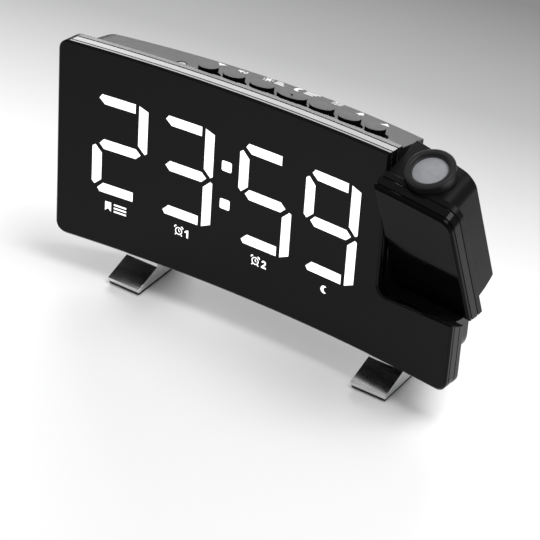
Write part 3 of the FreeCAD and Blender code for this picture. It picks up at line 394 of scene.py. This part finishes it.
COLON_LEFT, COLON_WIDE, COLON_TALL, COLON_LOWS = -17.95, 4.9, 4.6, (37.9, 55.2)
COLON_CORNER = 0.7
form = bmesh.new()
for low in COLON_LOWS:
    right, high = COLON_LEFT + COLON_WIDE, low + COLON_TALL
    raise_outline(form, [(COLON_LEFT, low), (right, low), (right, high), (COLON_LEFT, high)], on_face)
bmesh.ops.recalc_face_normals(form, faces=form.faces)
corners = [edge for edge in form.edges if edge.calc_length() < MM]
bmesh.ops.bevel(form, geom=corners, offset=COLON_CORNER * MM, affect="EDGES", segments=3,
                profile=0.5, material=-1)
finish_piece("lit_colon", form, digit_light, "housing")


# Small signs below the digits, lit through the same panel: a bookmark, two alarm
# clocks with their plain numbers 1 and 2, and a crescent for the sleep timer.
def arc(centre, radius, start, end, count):
    """Points along a circle's arc, in degrees."""
    steps = [math.radians(start + (end - start) * index / count) for index in range(count + 1)]
    return [(centre[0] + radius * math.cos(a), centre[1] + radius * math.sin(a)) for a in steps]


def annulus(form, centre, outer, inner, place):
    """A flat ring of two halves."""
    for start in (0, 180):
        rim = arc(centre, outer, start, start + 180, 14)
        hole = arc(centre, inner, start + 180, start, 14)
        raise_outline(form, rim + hole, place)


def bar(form, start, end, wide, place):
    """A straight bar between two points."""
    along = Vector((end[0] - start[0], end[1] - start[1])).normalized() * wide / 2
    side = Vector((-along.y, along.x))
    corners = [Vector(start) + side, Vector(start) - side, Vector(end) - side, Vector(end) + side]
    raise_outline(form, [tuple(corner) for corner in corners], place)


def alarm_clock(form, middle, low, place):
    """A little alarm clock, 5 mm wide: dial, two hands, two bells and two feet."""
    centre = (middle, low + 2.05)
    annulus(form, centre, 1.78, 1.36, place)
    bar(form, centre, (middle, low + 2.95), 0.34, place)
    bar(form, centre, (middle + 0.7, low + 1.75), 0.34, place)
    for way in (-1, 1):
        turn_to = 90 - way * 45
        bell = arc((middle + way * 1.5, low + 3.72), 0.8, turn_to - 80, turn_to + 80, 8)
        raise_outline(form, bell, place)
        bar(form, (middle + way * 1.15, low + 0.6), (middle + way * 1.75, low), 0.5, place)


def crescent(form, centre, radius, place):
    """A waning moon."""
    outer = arc(centre, radius, 50, 310, 22)
    inner = arc((centre[0] + radius * 0.643, centre[1]), radius * 0.766, 270, 90, 16)
    raise_outline(form, outer + inner, place)


form = bmesh.new()
ribbon = [(-75.0, 17.8), (-73.5, 19.1), (-72.0, 17.8), (-72.0, 22.1), (-75.0, 22.1)]
raise_outline(form, ribbon, on_face)
for level in (18.3, 19.9, 21.5):
    bar(form, (-70.6, level), (-64.4, level), 0.75, on_face)
close_form("lit_bookmark", form, digit_light, "housing")

figure_one = [(2.2, 0), (2.2, 4.3), (1.3, 4.3), (0, 3.3), (0, 2.5), (1.2, 3.1), (1.2, 0)]
figure_two = [(0, 0), (2.9, 0), (2.9, 0.85), (1.35, 0.85), (2.5, 2.0), (2.85, 2.9),
              (2.55, 3.85), (1.5, 4.35), (0.45, 4.0), (0, 3.1), (0.85, 3.0), (1.45, 3.55),
              (1.9, 3.1), (1.6, 2.3), (0, 0.75)]
FIGURE_SIZE, FIGURE_LIFT = 0.84, 0.1
alarms = ((-37.7, -34.7, 17.9, figure_one), (1.35, 4.5, 17.8, figure_two))
for number, (middle, left, low, figure) in enumerate(alarms, 1):
    form = bmesh.new()
    alarm_clock(form, middle, low, on_face)
    outline = [(left + x * FIGURE_SIZE, low + FIGURE_LIFT + y * FIGURE_SIZE) for x, y in figure]
    raise_outline(form, outline, on_face)
    close_form(f"lit_alarm_{number}", form, digit_light, "housing")
form = bmesh.new()
crescent(form, (36.5, 20.3), 1.75, on_face)
close_form("lit_crescent", form, digit_light, "housing")


# Keys: seven oval satin black caps in a row along the top, the middle one with a raised
# dot. They stand for the CAD keys but lie 2.1 mm left of them and 2.7 mm behind, nearer
# the photograph, so each has a thin black plate over the slot that it leaves open.
TOP_HEIGHT, TOP_FRONT, TOP_SLOPE = 89.7, 9.2, math.tan(math.radians(6.5))
KEY_MIDDLE, KEY_DEEP = 6, 11.7
KEY_STEPS = (-41.2, -28.6, -14.8, 0, 14.8, 28.6, 41.2)
KEY_SHIFT_ACROSS, KEY_SHIFT_DEEP = -2.1, 2.7
CAP_HALF_WIDE = (4.3, 4.9, 5.5, 6.9, 5.5, 4.9, 4.3)
CAP_HALF_DEEP, CAP_TALL, CAP_SUNK = 4.1, 2.1, 0.2
CAP_EDGE, CROWN_INSET, CROWN_DISH = 0.12, 1.6, 0.03
DOT_RADIUS, DOT_FLATTEN, DOT_FORWARD, DOT_HEIGHT = 0.55, 0.8, -0.2, 2.0
COVER_WIDE, COVER_WIDE_MIDDLE, COVER_DEEP, COVER_THICK, COVER_SUNK = 11.0, 13.4, 6.0, 0.5, 0.6
MIDDLE_KEY = 4


def on_top(across, deep, proud):
    """A place on the top of the housing, proud of it by some millimetres."""
    return clock_point(across, deep, TOP_HEIGHT - (deep - TOP_FRONT) * TOP_SLOPE + proud)


def top_matrix(across, deep, proud):
    """The frame of the housing's top at a place: across, back and up out of it."""
    origin = on_top(across, deep, proud)
    inward = (on_top(across, deep + 1, proud) - origin).normalized()
    sideways = Vector((1, 0, 0))
    turned = Matrix((sideways, inward, sideways.cross(inward))).transposed().to_4x4()
    return Matrix.Translation(origin) @ turned


def thicken(form, faces, height):
    """Raise faces, or lower them, and give the vertices of the moved side."""
    raised = bmesh.ops.extrude_face_region(form, geom=faces)
    moved = [item for item in raised["geom"] if isinstance(item, bmesh.types.BMVert)]
    bmesh.ops.translate(form, vec=(0, 0, height * MM), verts=moved)
    return moved


def faces_of(verts):
    """The faces that touch any of some vertices."""
    return list({face for vert in verts for face in vert.link_faces})


key_satin = moulding("key_satin", (0.007, 0.007, 0.0074), 0.27, 0.39, 1700, 0.000006, 0.0002, 0.22)
# Near-black for the caps' side walls, painted shade on their shadowed sides; the dot, the plates over
# the slots and the sensor disc use the same black.
black_and_painted_shade = moulding("black_and_painted_shade", (0.0012, 0.0012, 0.0012), 0.7, 0.85, 900, 0.000006, 0.0001, 0.05)
SATIN, BLACK_AND_SHADE = 0, 1
for index, (step, half_wide) in enumerate(zip(KEY_STEPS, CAP_HALF_WIDE), 1):
    across = KEY_MIDDLE + step
    deep = KEY_DEEP + face_arc(across)
    form = bmesh.new()
    disc = bmesh.ops.create_circle(form, cap_ends=True, radius=1, segments=56)["verts"]
    bmesh.ops.scale(form, vec=(half_wide * MM, CAP_HALF_DEEP * MM, 1), verts=disc)
    top = thicken(form, form.faces[:], CAP_TALL)
    bmesh.ops.recalc_face_normals(form, faces=form.faces)
    rim = [edge for edge in form.edges if all(vert in top for vert in edge.verts)]
    bmesh.ops.bevel(form, geom=rim, offset=CAP_EDGE * MM, affect="EDGES", segments=3,
                    profile=0.5, material=-1)
    crown = max(form.faces, key=lambda face: face.calc_center_median().z)
    bmesh.ops.inset_region(form, faces=[crown], thickness=CROWN_INSET * MM, depth=-CROWN_DISH * MM)
    form.normal_update()
    for face in form.faces:
        # Faces that turn sideways get the near-black: painted shade on the caps' side walls.
        face.material_index = BLACK_AND_SHADE if face.normal.z < 0.45 else SATIN
    if index == MIDDLE_KEY:
        dot = bmesh.ops.create_uvsphere(form, u_segments=16, v_segments=10,
                                        radius=DOT_RADIUS * MM)["verts"]
        bmesh.ops.scale(form, vec=(1, 1, DOT_FLATTEN), verts=dot)
        bmesh.ops.translate(form, vec=(0, DOT_FORWARD * MM, DOT_HEIGHT * MM), verts=dot)
        for face in faces_of(dot):
            face.material_index = BLACK_AND_SHADE
    cap_frame = top_matrix(across + KEY_SHIFT_ACROSS, deep + KEY_SHIFT_DEEP, -CAP_SUNK)
    bmesh.ops.transform(form, matrix=cap_frame, verts=form.verts)
    cover = bmesh.ops.create_grid(form, x_segments=1, y_segments=1, size=0.5)["verts"]
    cover_wide = COVER_WIDE_MIDDLE if index == MIDDLE_KEY else COVER_WIDE
    bmesh.ops.scale(form, vec=(cover_wide * MM, COVER_DEEP * MM, 1), verts=cover)
    cover += thicken(form, faces_of(cover), -COVER_THICK)
    bmesh.ops.recalc_face_normals(form, faces=faces_of(cover))
    for face in faces_of(cover):
        face.material_index = BLACK_AND_SHADE
    bmesh.ops.transform(form, matrix=top_matrix(across, deep, -COVER_SUNK), verts=cover)
    cap = finish_piece(f"cap_{index}", form, key_satin, f"key_{index}")
    cap.data.materials.append(black_and_painted_shade)
    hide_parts(f"key_{index}")


# Signs behind the keys, printed in white on the housing: down, sound, brightness,
# rest, settings, bell and up. They are plain shapes, a few millimetres wide.
key_print = moulding("key_print", (0.74, 0.74, 0.74), 0.4, 0.5, 900, 0.000002, 0.0001, 0.3)


def sign_down(form, place):
    """The sign for turning down."""
    raise_outline(form, [(-1.9, 1.0), (0, -1.1), (1.9, 1.0)], place)


def sign_up(form, place):
    """The sign for turning up."""
    raise_outline(form, [(-1.9, -1.0), (1.9, -1.0), (0, 1.1)], place)


def sign_sound(form, place):
    """The sign for the sound."""
    horn = [(-2.1, -0.5), (-1.3, -0.5), (-0.3, -1.3), (-0.3, 1.3), (-1.3, 0.5), (-2.1, 0.5)]
    raise_outline(form, horn, place)
    for radius in (1.0, 1.9):
        band = arc((-0.2, 0), radius, -45, 45, 8) + arc((-0.2, 0), radius - 0.45, 45, -45, 8)
        raise_outline(form, band, place)


def sign_brightness(form, place):
    """The sign for the brightness."""
    raise_outline(form, arc((-1.9, 0), 0.85, 0, 350, 18), place)
    for angle in range(0, 360, 45):
        way = (math.cos(math.radians(angle)), math.sin(math.radians(angle)))
        near, far = [(-1.9 + way[0] * reach, way[1] * reach) for reach in (1.15, 1.7)]
        bar(form, near, far, 0.4, place)
    for height, reach in ((0.9, 2.6), (0, 3.3), (-0.9, 4.0)):
        bar(form, (0.6, height), (reach, height), 0.5, place)


def sign_rest(form, place):
    """The sign for resting on."""
    crescent(form, (-2.6, 0), 1.4, place)
    for height, reach in ((0.9, 4.2), (0, 3.5), (-0.9, 2.8)):
        bar(form, (-0.4, height), (reach, height), 0.5, place)


def sign_settings(form, place):
    """The sign for the settings."""
    for height, knob in ((0.95, -0.9), (0, 1.0), (-0.95, -0.3)):
        bar(form, (-2.1, height), (2.1, height), 0.36, place)
        raise_outline(form, arc((knob, height), 0.48, 0, 330, 11), place)


def sign_bell(form, place):
    """The sign for the alarms."""
    dome = arc((0, 0.3), 1.0, 170, 10, 10)
    raise_outline(form, [(-1.7, -0.9), (-1.1, -0.3)] + dome + [(1.1, -0.3), (1.7, -0.9)], place)
    raise_outline(form, arc((0, -1.0), 0.45, 180, 360, 6), place)


def sign_place(across, deep, size):
    """A call that carries a sign's points to a spot on the housing's top."""
    return lambda x, y, proud: on_top(across + x * size, deep + SIGN_BACK + y * size, proud)


SIGN_BACK, SMALL_SIGN, WIDE_SIGN = 0.7, 1.15, 1.45
signs = (
    (-37.96, 22.6, SMALL_SIGN, sign_down),
    (-26.97, 23.2, SMALL_SIGN, sign_sound),
    (-12.45, 24.65, WIDE_SIGN, sign_brightness),
    (3.38, 25.06, WIDE_SIGN, sign_rest),
    (18.66, 25.0, SMALL_SIGN, sign_settings),
    (31.1, 23.3, SMALL_SIGN, sign_bell),
    (44.1, 21.7, SMALL_SIGN, sign_up),
)
for index, (across, deep, size, draw) in enumerate(signs, 1):
    form = bmesh.new()
    draw(form, sign_place(across, deep, size))
    close_form(f"printed_sign_{index}", form, key_print, "housing")


# Light sensor: a black disc over the dip in the housing's top, and in it a pale clear
# window, a little off its middle, through which the room's light reaches the board.
sensor_clear = moulding("sensor_window", (0.42, 0.42, 0.425), 0.15, 0.25, 500, 0.000002, 0.0001)
SENSOR_ACROSS = -48.5
rounds = (
    ("sensor_disc", 2.35, (-0.4, 0.5), -0.6, 0.05, black_and_painted_shade),
    ("sensor_window", 1.75, (0.1, 0.05), -0.5, 0.09, sensor_clear),
)
for name, radius, (aside, behind), low, high, finish in rounds:
    form = bmesh.new()
    bmesh.ops.create_circle(form, cap_ends=True, radius=radius * MM, segments=40)
    thicken(form, form.faces[:], high - low)
    spot = top_matrix(SENSOR_ACROSS + aside, KEY_DEEP + face_arc(SENSOR_ACROSS) + behind, low)
    bmesh.ops.transform(form, matrix=spot, verts=form.verts)
    close_form(name, form, finish, "housing")
